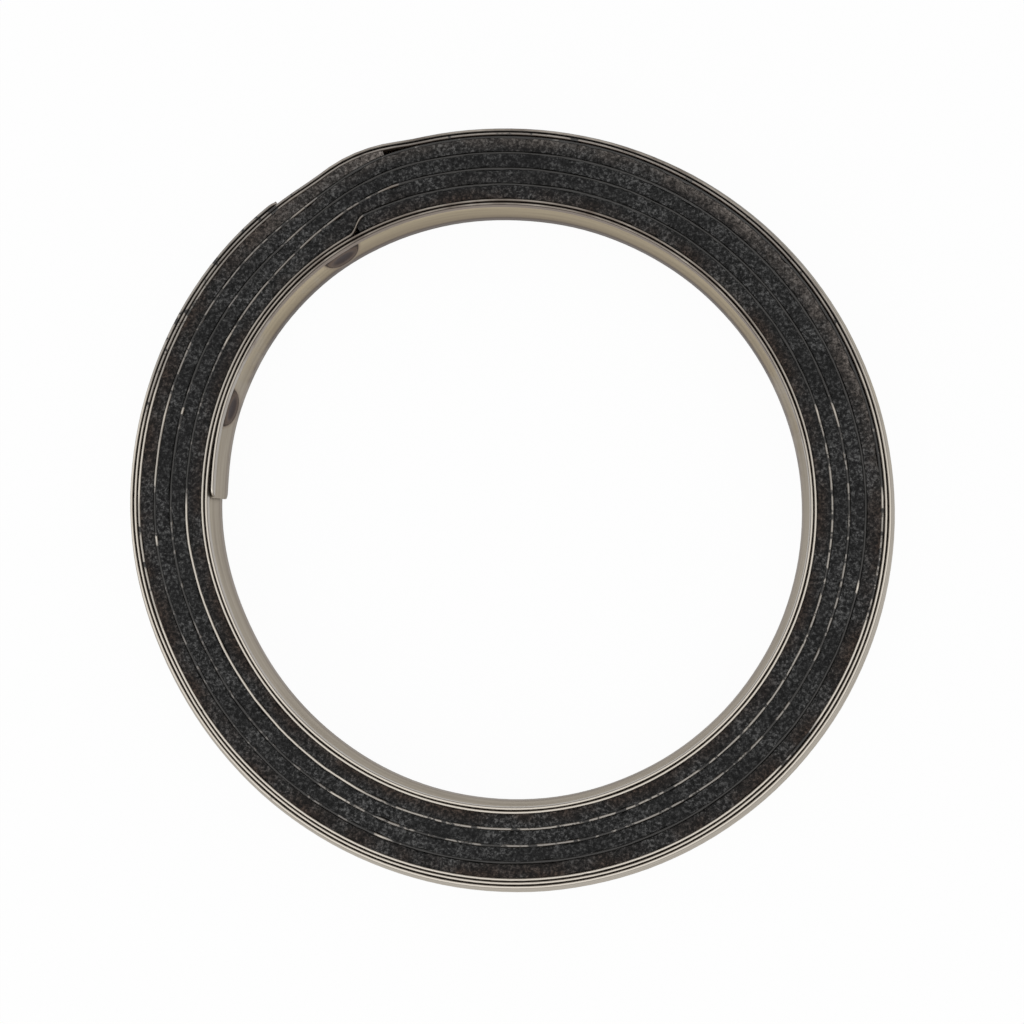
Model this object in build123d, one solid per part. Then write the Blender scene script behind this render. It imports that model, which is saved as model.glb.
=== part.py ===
from build123d import *
import math
import os

# Spiral wound ring gasket for a round pipe joint, in millimetres and degrees.
# It lies flat: +Z is the ring's axis, z = 0 is its lower sealing face and the
# origin is on the bore axis. Two strips are rolled up together: a steel strip with
# a V-shaped section, and a flexible graphite strip that lies between its middle
# turns. A place on the roll is given by its winding angle: the degrees of steel
# strip wound so far, clockwise seen from above, from the strip's inner end.

# Steel strip
bore_radius = 23.86
strip_height = 5.0
strip_thickness = 0.2
lip_height = 0.9
vee_depth = 0.8
end_corner_radius = 0.75

# Graphite strip
filler_thickness = 1.03
filler_clearance = 0.03
filler_set_back = 0.05

# Winding: how far the steel turns before the graphite begins, with it and after it
inner_end_bearing = 178.5
inner_bare_wound = 420.0
filler_wound = 1449.0
outer_bare_wound = 1062.0
bare_gap = 0.1

# The strip climbs over the steel's inner end just before it passes it again
tip_ramp = 32.0

# It climbs over the graphite's inner end in a short step on the first pass. While
# graphite lies between the turns, the later ramps each begin a little further on,
# and all end at one bearing
filler_step = 4.0
filler_ramp_lead = 18.0
filler_ramp_wane = 4.5
filler_ramp_tail = 11.0

# It drops past the graphite's outer end
drop_lead = 9.0
drop_ramp = 15.0

# The roll isn't quite round: an oval, and a bulge beside the steel's inner end
oval_depth = 0.17
oval_bearing = 126.0
bulge_height = 0.4
bulge_width = 98.0

# Spot welds, by their winding angles past the inner end and short of the outer end
weld_radius = 0.8
inner_welds = [17.7, 54.7]
outer_welds = [34.5, 2.0]

# Winding curves: how many pieces and guide points each turn has, and how many more
# guide points lie on each side of the short step
pieces_per_turn = 3
points_per_turn = 72
step_points = 5

TURN = 360.0
filler_from = inner_bare_wound
filler_to = filler_from + filler_wound
steel_wound = filler_to + outer_bare_wound
bare_pitch = strip_thickness + bare_gap
filler_rise = filler_thickness + 2 * filler_clearance - bare_gap
filler_turns = int(filler_wound // TURN)
mid_height = strip_height / 2


def ramp(angle, start, end):
    """A smooth rise from 0 to 1 between two winding angles."""
    share = min(max((angle - start) / (end - start), 0.0), 1.0)
    return share * share * (3 - 2 * share)


def passes_over(start):
    """The winding angles at which the strip passes over start again."""
    count = int((steel_wound + TURN - start) // TURN)
    return [start + TURN * (turn + 1) for turn in range(count)]


def bare_turns_under(angle):
    """How many turns of steel lie under the strip here."""
    return sum(ramp(angle, over - tip_ramp, over) for over in passes_over(0))


def filler_layers_under(angle):
    """How many layers of graphite lie under the strip here."""
    first, *later = passes_over(filler_from)
    layers = ramp(angle, first - filler_step / 2, first + filler_step / 2)
    for turn, over in enumerate(later):
        lead = filler_ramp_lead - filler_ramp_wane * min(turn, filler_turns - 1)
        layers += ramp(angle, over - lead, over + filler_ramp_tail)
    for over in passes_over(filler_to):
        layers -= ramp(angle, over - drop_lead, over - drop_lead + drop_ramp)
    return layers


def out_of_round(angle):
    """How far the roll's oval and its bulge carry the strip outward here."""
    bearing = math.radians(inner_end_bearing - angle - oval_bearing)
    oval = oval_depth * math.cos(2 * bearing)
    along = min(angle % TURN, bulge_width)
    return oval + bulge_height * math.sin(math.pi * along / bulge_width) ** 2


def inner_face(angle):
    """Radius of the steel strip's inner face, at its lips."""
    climb = bare_pitch * bare_turns_under(angle) + filler_rise * filler_layers_under(angle)
    return bore_radius + climb + out_of_round(angle)


def outer_face(angle):
    return inner_face(angle) + strip_thickness


def plan_point(angle, radius, height):
    bearing = math.radians(inner_end_bearing - angle)
    return Vector(radius * math.cos(bearing), radius * math.sin(bearing), height)


def rate(angle, radius_at):
    """How a winding curve moves, for each degree of winding angle."""
    nudge = 0.01
    behind = plan_point(angle - nudge, radius_at(angle - nudge), 0)
    ahead = plan_point(angle + nudge, radius_at(angle + nudge), 0)
    return (ahead - behind) / (2 * nudge)


def guide_angles(start, end):
    """Where the guide points lie: on the same bearings in every turn."""
    even = TURN / points_per_turn
    grid = [i * even for i in range(int(start / even), int(end / even) + 1)]
    spacing = filler_step / step_points
    for step_at in (filler_from, filler_from + TURN):
        grid = [a for a in grid if abs(a - step_at) > filler_step + spacing / 2]
        grid += [step_at + i * spacing for i in range(-step_points, step_points + 1)]
    between = [a for a in grid if start + spacing / 2 < a < end - spacing / 2]
    return sorted([start, *between, end])


def winding_curves(start, end, radius_at, height):
    """The curve of one edge of a wound strip, in smooth pieces."""
    pieces = math.ceil((end - start) * pieces_per_turn / TURN)
    curves = []
    for piece in range(pieces):
        first = start + (end - start) * piece / pieces
        last = start + (end - start) * (piece + 1) / pieces
        angles = guide_angles(first, last)
        points = [plan_point(a, radius_at(a), height) for a in angles]
        rates = [rate(a, radius_at) for a in (first, last)]
        curves.append(Edge.make_spline(points, rates, parameters=angles, scale=False))
    return curves


def vee_shift(height):
    """How far the V carries the strip outward at this height."""
    half_vee = mid_height - lip_height
    return vee_depth * max(0.0, 1 - abs(height - mid_height) / half_vee)


def vee_heights(low, high):
    """The heights from low to high between which the strip's section is straight."""
    corners = [lip_height, mid_height, strip_height - lip_height]
    return [low, *[c for c in corners if low < c < high], high]


def wound_strip(start, end, inner_at, outer_at, low, high):
    """A V-section band wound between two radius formulas."""
    rings = []
    for height in vee_heights(low, high):
        shift = vee_shift(height)
        inside = winding_curves(start, end, lambda a: inner_at(a) + shift, height)
        outside = winding_curves(start, end, lambda a: outer_at(a) + shift, height)
        first_end = Line(inside[0] @ 0, outside[0] @ 0)
        last_end = Line(inside[-1] @ 1, outside[-1] @ 1)
        rings.append(Wire([*inside, last_end, *outside, first_end]))
    return Solid.make_loft(rings, ruled=True)


def spot_weld(angle):
    """A round nugget that joins the strip to the turn under it."""
    reach = math.degrees(1.5 * weld_radius / bore_radius)
    bridge = wound_strip(
        angle - reach,
        angle + reach,
        lambda a: outer_face(a - TURN) - strip_thickness / 2,
        lambda a: inner_face(a) + strip_thickness / 2,
        mid_height - 1.5 * weld_radius,
        mid_height + 1.5 * weld_radius,
    )
    centre = plan_point(angle, inner_face(angle), mid_height)
    outward = plan_point(angle, 1, 0)
    pin = Plane(origin=centre, z_dir=outward) * Cylinder(weld_radius, strip_height)
    return bridge & pin


def end_corners(angle, into_strip):
    """What lies outside the rounded corners of a strip end."""
    size = min(end_corner_radius, lip_height)
    middle = plan_point(angle, inner_face(angle) + strip_thickness / 2, mid_height)
    outward = plan_point(angle, 1, 0)
    along = plan_point(angle + 90 * into_strip, 1, 0)
    rounded = Pos(4 * size, 0) * RectangleRounded(8 * size, strip_height, size)
    corners = Pos(0.4 * size, 0) * Rectangle(1.2 * size, strip_height + size) - rounded
    reach = (strip_thickness + bare_gap) / 2
    return Plane(middle, x_dir=along, z_dir=outward) * extrude(corners, reach, both=True)


def steel_winding():
    strip = wound_strip(0, steel_wound, inner_face, outer_face, 0, strip_height)
    strip -= end_corners(0, 1)
    strip -= end_corners(steel_wound, -1)
    for past_end in inner_welds:
        strip += spot_weld(TURN + past_end)
    for short_of_end in outer_welds:
        strip += spot_weld(steel_wound - short_of_end)
    return strip


def graphite_filler():
    return wound_strip(
        filler_from,
        filler_to,
        lambda a: outer_face(a) + filler_clearance,
        lambda a: inner_face(a + TURN) - filler_clearance,
        filler_set_back,
        strip_height - filler_set_back,
    )


nodes = {
    "steel_winding": steel_winding(),
    "graphite_filler": graphite_filler(),
}

os.makedirs("parts", exist_ok=True)
for name, shape in nodes.items():
    shape.label = name
    export_step(shape, f"parts/{name}.step")
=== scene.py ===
import math

import bmesh
import bpy
import numpy as np
from mathutils import Matrix, Vector, noise


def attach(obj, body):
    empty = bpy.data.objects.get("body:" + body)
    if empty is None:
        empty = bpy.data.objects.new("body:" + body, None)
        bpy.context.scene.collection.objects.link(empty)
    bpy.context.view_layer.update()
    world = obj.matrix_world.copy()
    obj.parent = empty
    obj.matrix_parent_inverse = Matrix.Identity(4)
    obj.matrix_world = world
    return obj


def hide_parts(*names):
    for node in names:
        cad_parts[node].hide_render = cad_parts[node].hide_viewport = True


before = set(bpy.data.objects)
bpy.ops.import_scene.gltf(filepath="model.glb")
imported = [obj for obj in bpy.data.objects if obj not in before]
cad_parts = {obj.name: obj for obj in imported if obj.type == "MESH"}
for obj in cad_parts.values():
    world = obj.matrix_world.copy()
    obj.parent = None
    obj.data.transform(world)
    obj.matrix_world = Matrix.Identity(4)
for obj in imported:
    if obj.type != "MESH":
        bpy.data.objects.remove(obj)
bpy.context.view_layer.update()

# The looks of a spiral wound ring gasket. Lengths here are in millimetres and angles
# in degrees until a mesh is made. A place on the roll is its winding angle, clockwise
# seen from above, from the steel strip's inner end.
MM = 0.001
TURN = 360.0

# The roll's form, as in the part's source
bore_radius = 23.86
strip_height = 5.0
strip_thickness = 0.2
lip_height = 0.9
vee_depth = 0.8
end_corner_radius = 0.75
filler_thickness = 1.03
filler_clearance = 0.03
filler_set_back = 0.05
inner_end_bearing = 178.5
inner_bare_wound = 420.0
filler_wound = 1449.0
outer_bare_wound = 1062.0
bare_gap = 0.1
tip_ramp = 32.0
filler_step = 4.0
filler_ramp_lead = 18.0
filler_ramp_wane = 4.5
filler_ramp_tail = 11.0
drop_lead = 9.0
drop_ramp = 15.0
oval_depth = 0.17
oval_bearing = 126.0
bulge_height = 0.4
bulge_width = 98.0
filler_from = inner_bare_wound
filler_to = filler_from + filler_wound
steel_wound = filler_to + outer_bare_wound
bare_pitch = strip_thickness + bare_gap
filler_rise = filler_thickness + 2 * filler_clearance - bare_gap
filler_turns = int(filler_wound // TURN)
mid_height = strip_height / 2
inner_welds = [17.7, 54.7]
outer_welds = [steel_wound - 34.5, steel_wound - 2.0]

# Finish: how the strip's edges are worn and smeared, and the bearings of painted light and shade
edge_round = 0.06
bend_round = 0.22
weld_disc = 1.5
weld_centre = 0.9
smear_sink = 0.09
outer_dimple = 0.1
tip_stand_off = 0.16
tip_stand_off_length = 20.0
steel_wobble = 0.025
filler_wobble = 0.04
# Bearing toward which the outer graphite is painted lighter
painted_light_bearing = 68.0
# Bearing toward which the steel is painted in shade
shade_side_bearing = 85.0

# Mesh spacing along the strips, in degrees of winding
section_step = 2.2
weld_step = 0.35
weld_reach = 4.5
step_section = 0.4
step_reach = 3.5
graphite_step = 0.69
end_reach = 2.0
steel_turns = int(steel_wound // TURN) + 1
far_away = 9.0

# Camera: how far above the top face, its two leans in radians, and how wide a strip of
# the top face it takes in, in metres
camera_distance = 0.1167
camera_lean_x = -0.0563
camera_lean_y = 0.0656
camera_view_width = 0.0811008
sensor_width = 36.0
# Where graphite is smeared over the strip's top edge: turn, first and last bearing,
# and how much of it is covered
smears = [
    (3, 16, 118, 1.0), (3, 118, 241, 0.12), (3, 241, 376, 0.42),
    (4, 16, 110, 1.0), (4, 110, 150, 0.38), (4, 150, 240, 0.66), (4, 240, 375, 0.5),
    (5, -14, 128, 1.0), (5, 128, 165, 0.7), (5, 165, 186, 1.0), (5, 186, 250, 0.7),
    (5, 250, 346, 1.0),
    (6, -20, 0, 0.45), (6, 0, 125, 0.8), (6, 125, 165, 0.5), (6, 165, 200, 0.3),
    (6, 314, 326, 0.5), (7, 20, 125, 0.3), (7, 125, 163, 0.35),
    (8, 118, 168, 0.34), (9, 127.5, 163, 0.3),
]
# Nicks in the top edge: turn, bearing, width and depth
nicks = [
    (9, 294.3, 0.7, 0.12), (9, 310.3, 0.6, 0.1), (9, 217.0, 0.6, 0.08),
    (9, 200.5, 0.5, 0.08), (6, 214.0, 0.8, 0.1), (6, 282.0, 0.9, 0.08),
    (2, 191.5, 0.5, 0.06),
]


def smooth(share):
    share = np.clip(share, 0.0, 1.0)
    return share * share * (3 - 2 * share)


def ramp(angle, start, end):
    """A smooth rise from 0 to 1 between two winding angles."""
    return smooth((angle - start) / (end - start))


def passes_over(start):
    """The winding angles at which the strip passes over start again."""
    count = int((steel_wound + TURN - start) // TURN)
    return [start + TURN * (turn + 1) for turn in range(count)]


def filler_layers_under(angle):
    first, *later = passes_over(filler_from)
    layers = ramp(angle, first - filler_step / 2, first + filler_step / 2)
    for turn, over in enumerate(later):
        lead = filler_ramp_lead - filler_ramp_wane * min(turn, filler_turns - 1)
        layers = layers + ramp(angle, over - lead, over + filler_ramp_tail)
    for over in passes_over(filler_to):
        layers = layers - ramp(angle, over - drop_lead, over - drop_lead + drop_ramp)
    return layers


def out_of_round(angle):
    bearing = np.radians(inner_end_bearing - angle - oval_bearing)
    along = np.minimum(angle % TURN, bulge_width)
    bulge = bulge_height * np.sin(np.pi * along / bulge_width) ** 2
    return oval_depth * np.cos(2 * bearing) + bulge


def inner_face(angle):
    """Radius of the steel strip's inner face, at its lips."""
    bare = sum(ramp(angle, over - tip_ramp, over) for over in passes_over(0))
    climb = bare_pitch * bare + filler_rise * filler_layers_under(angle)
    return bore_radius + climb + out_of_round(angle)


def outer_face(angle):
    return inner_face(angle) + strip_thickness


def vee_shift(height):
    """How far the V carries the strip outward, with its bends rounded."""
    offsets = np.linspace(-bend_round, bend_round, 9)
    half_vee = mid_height - lip_height
    away = np.abs(height[..., None] + offsets - mid_height)
    return vee_depth * np.maximum(0.0, 1 - away / half_vee).mean(axis=-1)


def bearing_of(angle):
    return (inner_end_bearing - angle) % TURN


def winding_of(turn, bearing):
    return (inner_end_bearing - bearing) % TURN + TURN * (turn - 1)


def turn_of(angle):
    return np.minimum(angle // TURN + 1, steel_turns)


def around(radius, angle, height):
    """Points in metres from radii, winding angles and heights in mm and degrees."""
    bearing = np.radians(inner_end_bearing - angle)
    return MM * np.stack([radius * np.cos(bearing), radius * np.sin(bearing), height], -1)


def wander(values, seed):
    """Smooth noise from -1 to 1 along a list of numbers."""
    return np.array([noise.noise(Vector((v, seed, 0.5 * seed))) for v in values])


def relief(points, size, seed):
    """Smooth noise from -1 to 1 over points in metres, for features of a size in mm."""
    scaled = points.reshape(-1, 3) / (MM * size) + seed
    values = [noise.fractal(Vector(p), 0.7, 2.0, 3) for p in scaled]
    return np.array(values).reshape(points.shape[:-1])


def swept(name, rings, values, caps):
    """A closed tube through rings of points, with named values on its points."""
    count, size, _ = rings.shape
    grid = np.arange(count * size).reshape(count, size)
    following = np.roll(grid, -1, axis=1)
    quads = np.stack([grid[:-1], grid[1:], following[1:], following[:-1]], -1)
    faces = quads.reshape(-1, 4).tolist()
    for ring in (grid[0], grid[-1]):
        faces += [[int(ring[i]) for i in cap] for cap in caps]
    mesh = bpy.data.meshes.new(name)
    mesh.from_pydata(rings.reshape(-1, 3).tolist(), [], faces)
    shell = bmesh.new()
    shell.from_mesh(mesh)
    bmesh.ops.recalc_face_normals(shell, faces=shell.faces)
    shell.to_mesh(mesh)
    shell.free()
    for label, value in values.items():
        attribute = mesh.attributes.new(label, "FLOAT", "POINT")
        attribute.data.foreach_set("value", np.ascontiguousarray(value, dtype=np.float32).ravel())
    mesh.shade_smooth()
    mesh.set_sharp_from_angle(angle=math.radians(38))
    piece = bpy.data.objects.new(name, mesh)
    bpy.context.scene.collection.objects.link(piece)
    return piece


def strip_angles():
    """Sections along the strip: close together at welds, the step, nicks and ends."""
    angles = [np.arange(0, steel_wound, section_step), [steel_wound]]
    for weld in inner_welds + [w + TURN for w in inner_welds] + outer_welds:
        angles.append(np.arange(weld - weld_reach, weld + weld_reach, weld_step))
    step_at = filler_from + TURN
    angles.append(np.arange(step_at - step_reach, step_at + step_reach, step_section))
    for turn, bearing, width, _ in nicks:
        at = winding_of(turn, bearing)
        angles.append(np.arange(at - width, at + width, width / 5))
    for end in (0.0, steel_wound - end_reach):
        angles.append(np.linspace(end, end + end_reach, 14))
    every = np.unique(np.round(np.concatenate(angles), 2))
    return every[(every >= 0) & (every <= steel_wound)]


def smear_at(angle):
    """How much graphite covers the strip's top edge, 0 to 1."""
    cover = np.zeros_like(angle)
    for turn, first, last, amount in smears:
        past = (bearing_of(angle) - first) % TURN
        width = last - first
        inside = np.minimum(ramp(past, 0, 2.5), 1 - ramp(past, width - 2.5, width))
        cover = np.maximum(cover, amount * np.where(turn_of(angle) == turn, inside, 0))
    return cover


def weld_distance(angle, height):
    """Distance in mm from the nearest spot weld."""
    nearest = np.full(np.broadcast(angle, height).shape, far_away)
    for weld in inner_welds + outer_welds:
        radius = bore_radius if weld < TURN else float(outer_face(np.array(weld)))
        along = np.radians(angle - weld) * radius
        nearest = np.minimum(nearest, np.hypot(along, height - mid_height))
    return nearest


def steel_piece():
    angle = strip_angles()
    lip = [0.0, edge_round, 0.45, 0.72]
    vee = list(np.linspace(lip_height, strip_height - lip_height, 17))
    level = np.array(lip + vee + [strip_height - h for h in reversed(lip)])
    a = angle[:, None]
    z = np.broadcast_to(level, (len(angle), len(level)))
    # Rounded corners at the strip's two ends
    from_end = np.minimum(angle, steel_wound - angle)
    from_end = np.radians(from_end) * inner_face(angle)
    short = np.clip(1 - from_end / end_corner_radius, 0, 1)
    trim = end_corner_radius * (1 - np.sqrt(1 - short**2))[:, None]
    squeeze = trim * np.clip(1 - z / lip_height, 0, 1)
    squeeze = squeeze - trim * np.clip(1 - (strip_height - z) / lip_height, 0, 1)
    cover = smear_at(angle)
    sink = smear_sink * cover
    for turn, bearing, width, depth in nicks:
        at = winding_of(turn, bearing)
        sink = sink + depth * np.exp(-(((angle - at) / (width / 2)) ** 2))
    top = np.clip((z - (strip_height - lip_height)) / lip_height, 0, 1)
    height = z + squeeze - sink[:, None] * top
    # Flattened vee at the welds, and shallow electrode dimples outside
    weld = weld_distance(a, z)
    under = weld_distance(a - TURN, z)
    near = np.minimum(weld, np.where(a < 2 * TURN, under, far_away))
    flat = 1 - smooth((near - 0.75 * weld_disc) / (0.45 * weld_disc))
    flat = np.where(a < 2 * TURN, flat, 0.0)
    shift = vee_shift(z) * (1 - 0.85 * flat)
    dimple = np.where(a > 2 * TURN, outer_dimple * (1 - smooth(weld / weld_centre)), 0.0)
    beside_filler = (angle > filler_from + TURN) & (angle < filler_to)
    wobble = steel_wobble * wander(angle / 14, 3.0)
    wobble = wobble + filler_wobble * beside_filler * wander(angle / 4.5, 5.0)
    wobble = np.where(angle > steel_wound - TURN - 20, -np.abs(wobble), wobble)
    tip = tip_stand_off * (1 - ramp(angle, 0, tip_stand_off_length))
    inner = (inner_face(angle) + wobble - tip)[:, None] + shift - dimple
    rim = np.isclose(z, 0) | np.isclose(z, strip_height)
    inset = np.where(rim, edge_round, 0.0)
    inside = around(inner + inset, a, height)
    outside = around(inner + strip_thickness - inset, a, height)
    rings = np.concatenate([inside, outside[:, ::-1]], axis=1)

    def both(value):
        value = np.broadcast_to(value, z.shape)
        return np.concatenate([value, value[:, ::-1]], axis=1)

    # Painted shade: a share from 0 to 1 that rises toward one side of the ring, where the steel's
    # walls and edges are painted darker
    shade_side = smooth(np.cos(np.radians(bearing_of(a) - shade_side_bearing)) + 0.1)
    values = {
        "height": both(z),
        "along": both(np.radians(a) * inner_face(a)),
        "smear": both(cover[:, None]),
        "weld": both(weld),
        "shade_side": both(shade_side),
        # Painted shade on the outermost turn, on the ring's shaded side
        "outer_turn_shade": both(shade_side * ramp(a, steel_wound - TURN, steel_wound - TURN + 20)),
    }
    last = rings.shape[1] - 1
    caps = [[j, j + 1, last - j - 1, last - j] for j in range(len(level) - 1)]
    return swept("steel_strip", rings, values, caps)


def graphite_piece():
    angle = np.arange(filler_from, filler_to + 0.01, graphite_step)
    low = filler_set_back
    high = strip_height - filler_set_back
    across = np.linspace(0, 1, 10)
    side = [lip_height, 1.4, 2.0, 2.5, 3.0, 3.6, strip_height - lip_height]
    rise, width = len(side), len(across)
    share = [0.0] * rise + list(across) + [1.0] * rise + list(across[::-1])
    level = side + [high] * width + side[::-1] + [low] * width
    u = np.broadcast_to(np.array(share), (len(angle), len(share)))
    z = np.broadcast_to(np.array(level), u.shape)
    a = angle[:, None]
    inner = outer_face(angle) + 0.02 + 0.05 * np.abs(wander(angle / 5, 7.0))
    outer = inner_face(angle + TURN) - 0.01
    radius = inner[:, None] + u * (outer - inner)[:, None] + vee_shift(z)
    points = around(radius, a, z)
    coarse = relief(points, 1.6, 11.0)
    fine = relief(points, 0.45, 29.0)
    rough = 0.035 * coarse + 0.03 * fine
    border = np.maximum(smooth(1 - u / 0.12), smooth(1 - (1 - u) / 0.12))
    chips = np.clip(relief(points, 0.9, 47.0) - 0.12, 0, 1)
    rough = np.minimum(rough - border * (0.01 + 0.35 * chips), 0.045)
    face = np.isclose(z, high) * 1.0 - np.isclose(z, low) * 1.0
    points[..., 2] += MM * rough * face
    first = smooth((filler_from + TURN + 60 - a) / 160)
    last = smooth((a - (filler_to - TURN - 40)) / 160)
    stain = np.maximum(first * (1 - u), last * (0.35 + 0.65 * u))
    # Painted light: the outer layers are painted paler, most of it toward one side
    lit = smooth((np.cos(np.radians(bearing_of(a) - painted_light_bearing)) - 0.25) / 0.6)
    painted_light = lit * smooth((a - (filler_to - 1.1 * TURN)) / TURN + 0.55 * u - 0.15)
    values = {"stain": stain, "painted_light": painted_light}
    caps = [list(range(len(share)))]
    return swept("graphite_strip", points, values, caps)


class Nodes:
    """A short way to write a material's node tree."""

    def __init__(self, name):
        self.material = bpy.data.materials.new(name)
        self.material.use_nodes = True
        self.tree = self.material.node_tree
        self.shader = self.tree.nodes["Principled BSDF"]

    def link(self, source, target):
        self.tree.links.new(source, target)

    def attribute(self, name):
        node = self.tree.nodes.new("ShaderNodeAttribute")
        node.attribute_name = name
        return node.outputs["Fac"]

    def noise(self, size_mm, detail=4.0, vector=None, roughness=0.6):
        node = self.tree.nodes.new("ShaderNodeTexNoise")
        if vector is None:
            coords = self.tree.nodes.new("ShaderNodeTexCoord")
            self.link(coords.outputs["Object"], node.inputs["Vector"])
            node.inputs["Scale"].default_value = 1 / (size_mm * MM)
        else:
            self.link(vector, node.inputs["Vector"])
            node.inputs["Scale"].default_value = 1 / size_mm
        node.inputs["Detail"].default_value = detail
        node.inputs["Roughness"].default_value = roughness
        return node.outputs["Fac"]

    def math(self, operation, first, second):
        node = self.tree.nodes.new("ShaderNodeMath")
        node.operation = operation
        for socket, value in zip(node.inputs, (first, second)):
            if isinstance(value, (int, float)):
                socket.default_value = value
            else:
                self.link(value, socket)
        return node.outputs[0]

    def spread(self, value, low, high, to_low=0.0, to_high=1.0):
        node = self.tree.nodes.new("ShaderNodeMapRange")
        self.link(value, node.inputs["Value"])
        node.inputs["From Min"].default_value = low
        node.inputs["From Max"].default_value = high
        node.inputs["To Min"].default_value = to_low
        node.inputs["To Max"].default_value = to_high
        return node.outputs[0]

    def ramp(self, value, stops):
        node = self.tree.nodes.new("ShaderNodeValToRGB")
        marks = node.color_ramp.elements
        while len(marks) < len(stops):
            marks.new(0.5)
        for mark, (place, colour) in zip(marks, stops):
            mark.position = place
            mark.color = (*colour, 1)
        self.link(value, node.inputs[0])
        return node.outputs["Color"]

    def mix(self, share, first, second):
        node = self.tree.nodes.new("ShaderNodeMix")
        node.data_type = "RGBA"
        self.link(share, node.inputs["Factor"])
        for socket, value in ((node.inputs[6], first), (node.inputs[7], second)):
            if isinstance(value, tuple):
                socket.default_value = (*value, 1)
            else:
                self.link(value, socket)
        return node.outputs[2]

    def bump(self, height, depth_mm, strength=1.0):
        node = self.tree.nodes.new("ShaderNodeBump")
        node.inputs["Distance"].default_value = depth_mm * MM
        node.inputs["Strength"].default_value = strength
        self.link(height, node.inputs["Height"])
        self.link(node.outputs[0], self.shader.inputs["Normal"])


def steel_material():
    """Rolled stainless strip: tan tint, streaks, heat-dark welds, smeared edges, with painted shade
    up the walls and on one side of the ring.
    """
    n = Nodes("rolled_steel")
    height = n.attribute("height")
    along = n.attribute("along")
    together = n.tree.nodes.new("ShaderNodeCombineXYZ")
    n.link(n.math("MULTIPLY", along, 0.08), together.inputs[0])
    n.link(n.math("MULTIPLY", height, 4.0), together.inputs[1])
    streaks = n.noise(1.0, 5.0, together.outputs[0])
    share = n.math("DIVIDE", height, strip_height)
    # Wall colours up the strip's height, with painted shade: darker toward the bottom, a dark line
    # along the V's crease and a dark band at the top edge's bevel
    walls_lit_side = n.ramp(share, [
        (0.0, (0.22, 0.185, 0.15)), (0.17, (0.26, 0.22, 0.18)),
        (0.22, (0.36, 0.32, 0.265)), (0.46, (0.41, 0.365, 0.30)),
        (0.5, (0.14, 0.095, 0.068)), (0.54, (0.41, 0.365, 0.30)),
        (0.78, (0.44, 0.40, 0.335)), (0.84, (0.40, 0.37, 0.33)),
        (0.96, (0.40, 0.37, 0.33)), (0.985, (0.20, 0.17, 0.14)),
    ])
    # The walls again as painted on the ring's shaded side: painted shade at both lips and along the
    # crease, and a paler painted middle band
    walls_shade_side = n.ramp(share, [
        (0.0, (0.075, 0.055, 0.045)), (0.17, (0.10, 0.075, 0.06)),
        (0.22, (0.30, 0.25, 0.18)), (0.46, (0.48, 0.41, 0.29)),
        (0.5, (0.06, 0.035, 0.022)), (0.55, (0.58, 0.50, 0.36)),
        (0.78, (0.52, 0.44, 0.31)), (0.82, (0.15, 0.105, 0.075)),
        (0.95, (0.19, 0.14, 0.10)), (0.98, (0.05, 0.035, 0.028)),
    ])
    blotch = n.noise(2.2, 3.0)
    # Painted shade: the shaded-side walls take over toward one side of the ring, with blotchy
    # borders
    shade_side_mix = n.math("ADD", n.attribute("shade_side"), n.spread(blotch, 0.3, 0.7, -0.3, 0.3))
    bands = n.mix(n.spread(shade_side_mix, 0.25, 0.75), walls_lit_side, walls_shade_side)
    # Painted shade: the outermost turn's wall is painted grey on the ring's shaded side
    bands = n.mix(n.math("MULTIPLY", n.attribute("outer_turn_shade"), 0.75), bands, (0.10, 0.096, 0.09))
    streaked = n.mix(n.spread(streaks, 0.35, 0.8, 0.0, 0.4), bands, (0.16, 0.135, 0.11))
    tint = n.ramp(n.math("DIVIDE", n.attribute("weld"), 3.0), [
        (0.0, (0.030, 0.019, 0.020)), (0.25, (0.036, 0.022, 0.019)),
        (0.34, (0.085, 0.058, 0.046)), (0.44, (0.12, 0.082, 0.060)),
        (0.49, (0.020, 0.011, 0.008)), (0.56, (0.24, 0.18, 0.13)),
    ])
    near = n.spread(n.attribute("weld"), 1.5, 1.9, 1.0, 0.0)
    walls = n.mix(near, streaked, tint)
    # Painted shade: the top edges go from pale to dark toward the ring's shaded side, in blotches
    edge_shade_share = n.math("MULTIPLY", n.attribute("shade_side"), n.spread(blotch, 0.3, 0.7, 0.6, 1.0))
    shaded_edge = n.mix(edge_shade_share, (0.80, 0.74, 0.65), (0.19, 0.16, 0.135))
    edges = n.mix(n.spread(n.attribute("smear"), 0.05, 0.6), shaded_edge, (0.26, 0.245, 0.23))
    on_edge = n.spread(height, 4.96, 4.995)
    bare = n.mix(on_edge, walls, edges)
    crumbs = n.noise(0.9, 5.0)
    smear = n.math("ADD", n.attribute("smear"), n.spread(crumbs, 0.25, 0.75, -0.5, 0.5))
    smeared = n.math("MULTIPLY", n.spread(smear, 0.46, 0.56), n.spread(height, 4.3, 4.7))
    n.link(n.mix(smeared, bare, (0.035, 0.033, 0.031)), n.shader.inputs["Base Color"])
    metal = n.math("SUBTRACT", n.spread(smeared, 0, 1, 0.85, 0.0), n.math("MULTIPLY", near, 0.6))
    n.link(n.math("MAXIMUM", metal, 0.0), n.shader.inputs["Metallic"])
    rough = n.math("MAXIMUM", n.spread(streaks, 0.2, 0.8, 0.34, 0.56), n.math("MULTIPLY", near, 0.8))
    n.link(rough, n.shader.inputs["Roughness"])
    n.bump(streaks, 0.02, 0.5)
    return n.material


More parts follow.
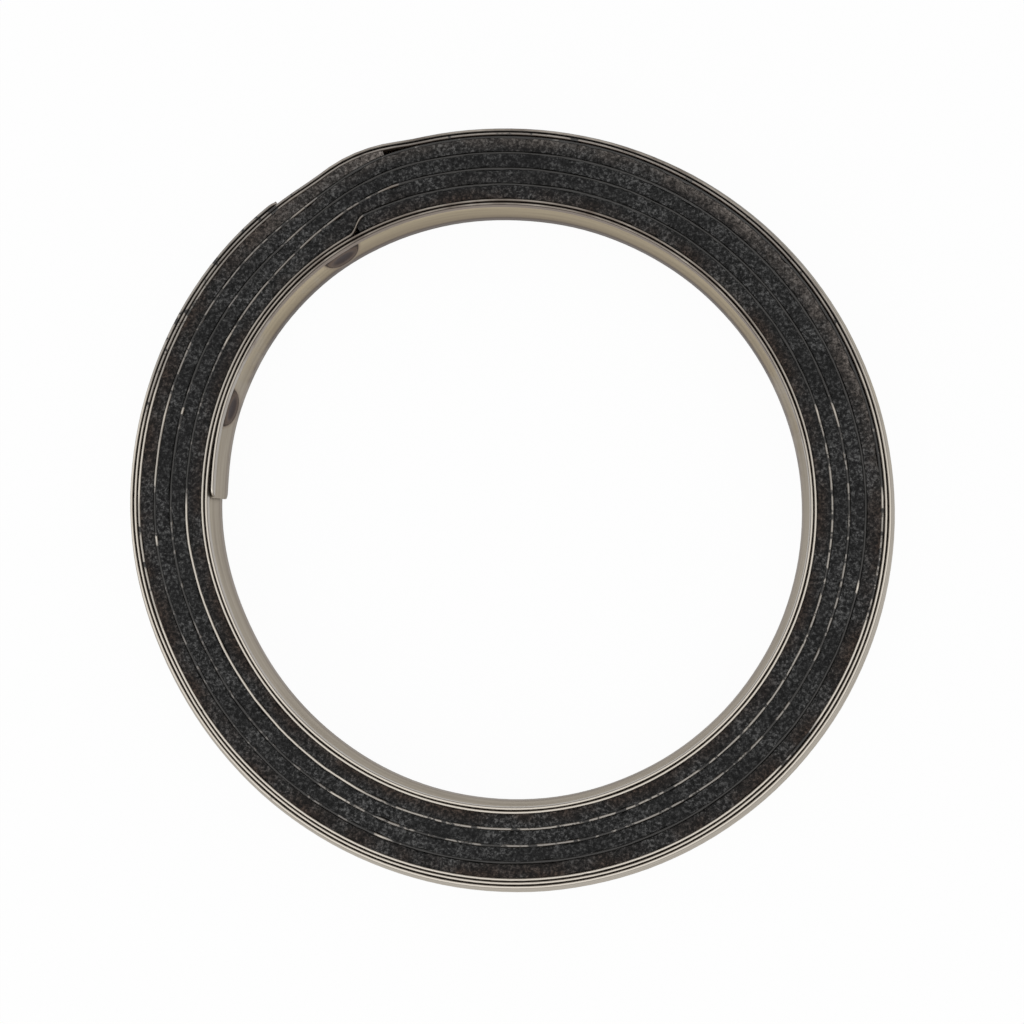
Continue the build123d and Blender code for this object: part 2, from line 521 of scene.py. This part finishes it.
def graphite_material():
    """Flexible graphite: matte dark grey, fibrous grain, brown stains by the steel, and painted
    light on the outer layers toward one side.
    """
    n = Nodes("flexible_graphite")
    grain = n.noise(0.24, 6.0, roughness=0.75)
    patches = n.noise(3.0, 4.0)
    grey = n.ramp(grain, [
        (0.40, (0.001, 0.001, 0.001)), (0.46, (0.009, 0.009, 0.009)),
        (0.53, (0.028, 0.028, 0.028)), (0.61, (0.115, 0.114, 0.112)),
    ])
    shade = n.mix(n.spread(patches, 0.42, 0.58, 0.0, 0.55), grey, (0.003, 0.003, 0.003))
    rust = n.ramp(grain, [
        (0.38, (0.002, 0.0012, 0.0008)), (0.48, (0.014, 0.0085, 0.0058)),
        (0.58, (0.048, 0.031, 0.022)), (0.68, (0.12, 0.085, 0.065)),
    ])
    brown = n.math("MULTIPLY", n.attribute("stain"), n.spread(patches, 0.38, 0.60, 0.15, 1.0))
    stained = n.mix(brown, shade, rust)
    # Painted light: paler graphite colours for the lit side of the outer layers
    lit_graphite = n.ramp(grain, [
        (0.38, (0.025, 0.021, 0.018)), (0.50, (0.125, 0.108, 0.096)),
        (0.62, (0.30, 0.27, 0.245)),
    ])
    painted_light_share = n.math("MULTIPLY", n.attribute("painted_light"), n.spread(patches, 0.4, 0.6, 0.35, 1.0))
    colour = n.mix(painted_light_share, stained, lit_graphite)
    n.link(colour, n.shader.inputs["Base Color"])
    n.link(n.spread(grain, 0.3, 0.7, 0.85, 0.6), n.shader.inputs["Roughness"])
    n.shader.inputs["Specular IOR Level"].default_value = 0.25
    n.bump(grain, 0.12, 1.0)
    return n.material


def floor_material():
    """White to the camera and in reflections, with the object's shadow kept."""
    n = Nodes("white_floor")
    nodes = n.tree.nodes
    glow = nodes.new("ShaderNodeEmission")
    glow.inputs["Color"].default_value = (1, 1, 1, 1)
    plain = nodes.new("ShaderNodeBsdfDiffuse")
    plain.inputs["Color"].default_value = (0.8, 0.8, 0.8, 1)
    path = nodes.new("ShaderNodeLightPath")
    seen = n.math("MAXIMUM", path.outputs["Is Camera Ray"], path.outputs["Is Glossy Ray"])
    seen = n.math("MAXIMUM", seen, path.outputs["Is Transmission Ray"])
    blend = nodes.new("ShaderNodeMixShader")
    n.link(n.math("MULTIPLY", seen, 0.96), blend.inputs[0])
    n.link(plain.outputs[0], blend.inputs[1])
    n.link(glow.outputs[0], blend.inputs[2])
    n.link(blend.outputs[0], nodes["Material Output"].inputs["Surface"])
    return n.material


def add_floor():
    mesh = bpy.data.meshes.new("floor")
    half = 6.0
    drop = -0.00002
    corners = [(-half, -half, drop), (half, -half, drop), (half, half, drop), (-half, half, drop)]
    mesh.from_pydata(corners, [], [(0, 1, 2, 3)])
    floor = bpy.data.objects.new("floor", mesh)
    bpy.context.scene.collection.objects.link(floor)
    mesh.materials.append(floor_material())


def add_light(name, place, size, power):
    data = bpy.data.lights.new(name, "AREA")
    data.size = size
    data.energy = power
    light = bpy.data.objects.new(name, data)
    light.location = place
    light.rotation_euler = (-Vector(place)).to_track_quat("-Z", "Y").to_euler()
    bpy.context.scene.collection.objects.link(light)


def add_lights():
    world = bpy.data.worlds.new("plain_white")
    world.use_nodes = True
    world.node_tree.nodes["Background"].inputs["Color"].default_value = (1, 1, 1, 1)
    world.node_tree.nodes["Background"].inputs["Strength"].default_value = 0.8
    bpy.context.scene.world = world
    add_light("key", (-0.22, -0.34, 0.26), 0.25, 0.5)
    add_light("fill", (0.36, 0.22, 0.30), 0.3, 0.2)


def add_camera():
    """Almost straight above, leaning a few degrees toward +X and -Y, with +Y up."""
    cos_x, sin_x = math.cos(camera_lean_x), math.sin(camera_lean_x)
    cos_y, sin_y = math.cos(camera_lean_y), math.sin(camera_lean_y)
    right = Vector((cos_x, 0, sin_x))
    up = Vector((-sin_y * sin_x, cos_y, sin_y * cos_x))
    back = right.cross(up)
    data = bpy.data.cameras.new("camera")
    data.sensor_width = sensor_width
    data.lens = sensor_width * camera_distance / camera_view_width
    data.clip_start = 0.005
    data.shift_x = 0.0047
    data.shift_y = -0.0095
    camera = bpy.data.objects.new("camera", data)
    turned = Matrix((right, up, back)).transposed().to_4x4()
    place = Vector((0, 0, strip_height * MM)) + back * camera_distance
    camera.matrix_world = Matrix.Translation(place) @ turned
    bpy.context.scene.collection.objects.link(camera)
    bpy.context.scene.camera = camera


add_camera()
add_lights()
add_floor()

steel = steel_piece()
steel.data.materials.append(steel_material())
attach(steel, "root")
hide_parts("steel_winding")

graphite = graphite_piece()
graphite.data.materials.append(graphite_material())
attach(graphite, "root")
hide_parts("graphite_filler")

bpy.context.scene.view_settings.view_transform = "Standard"
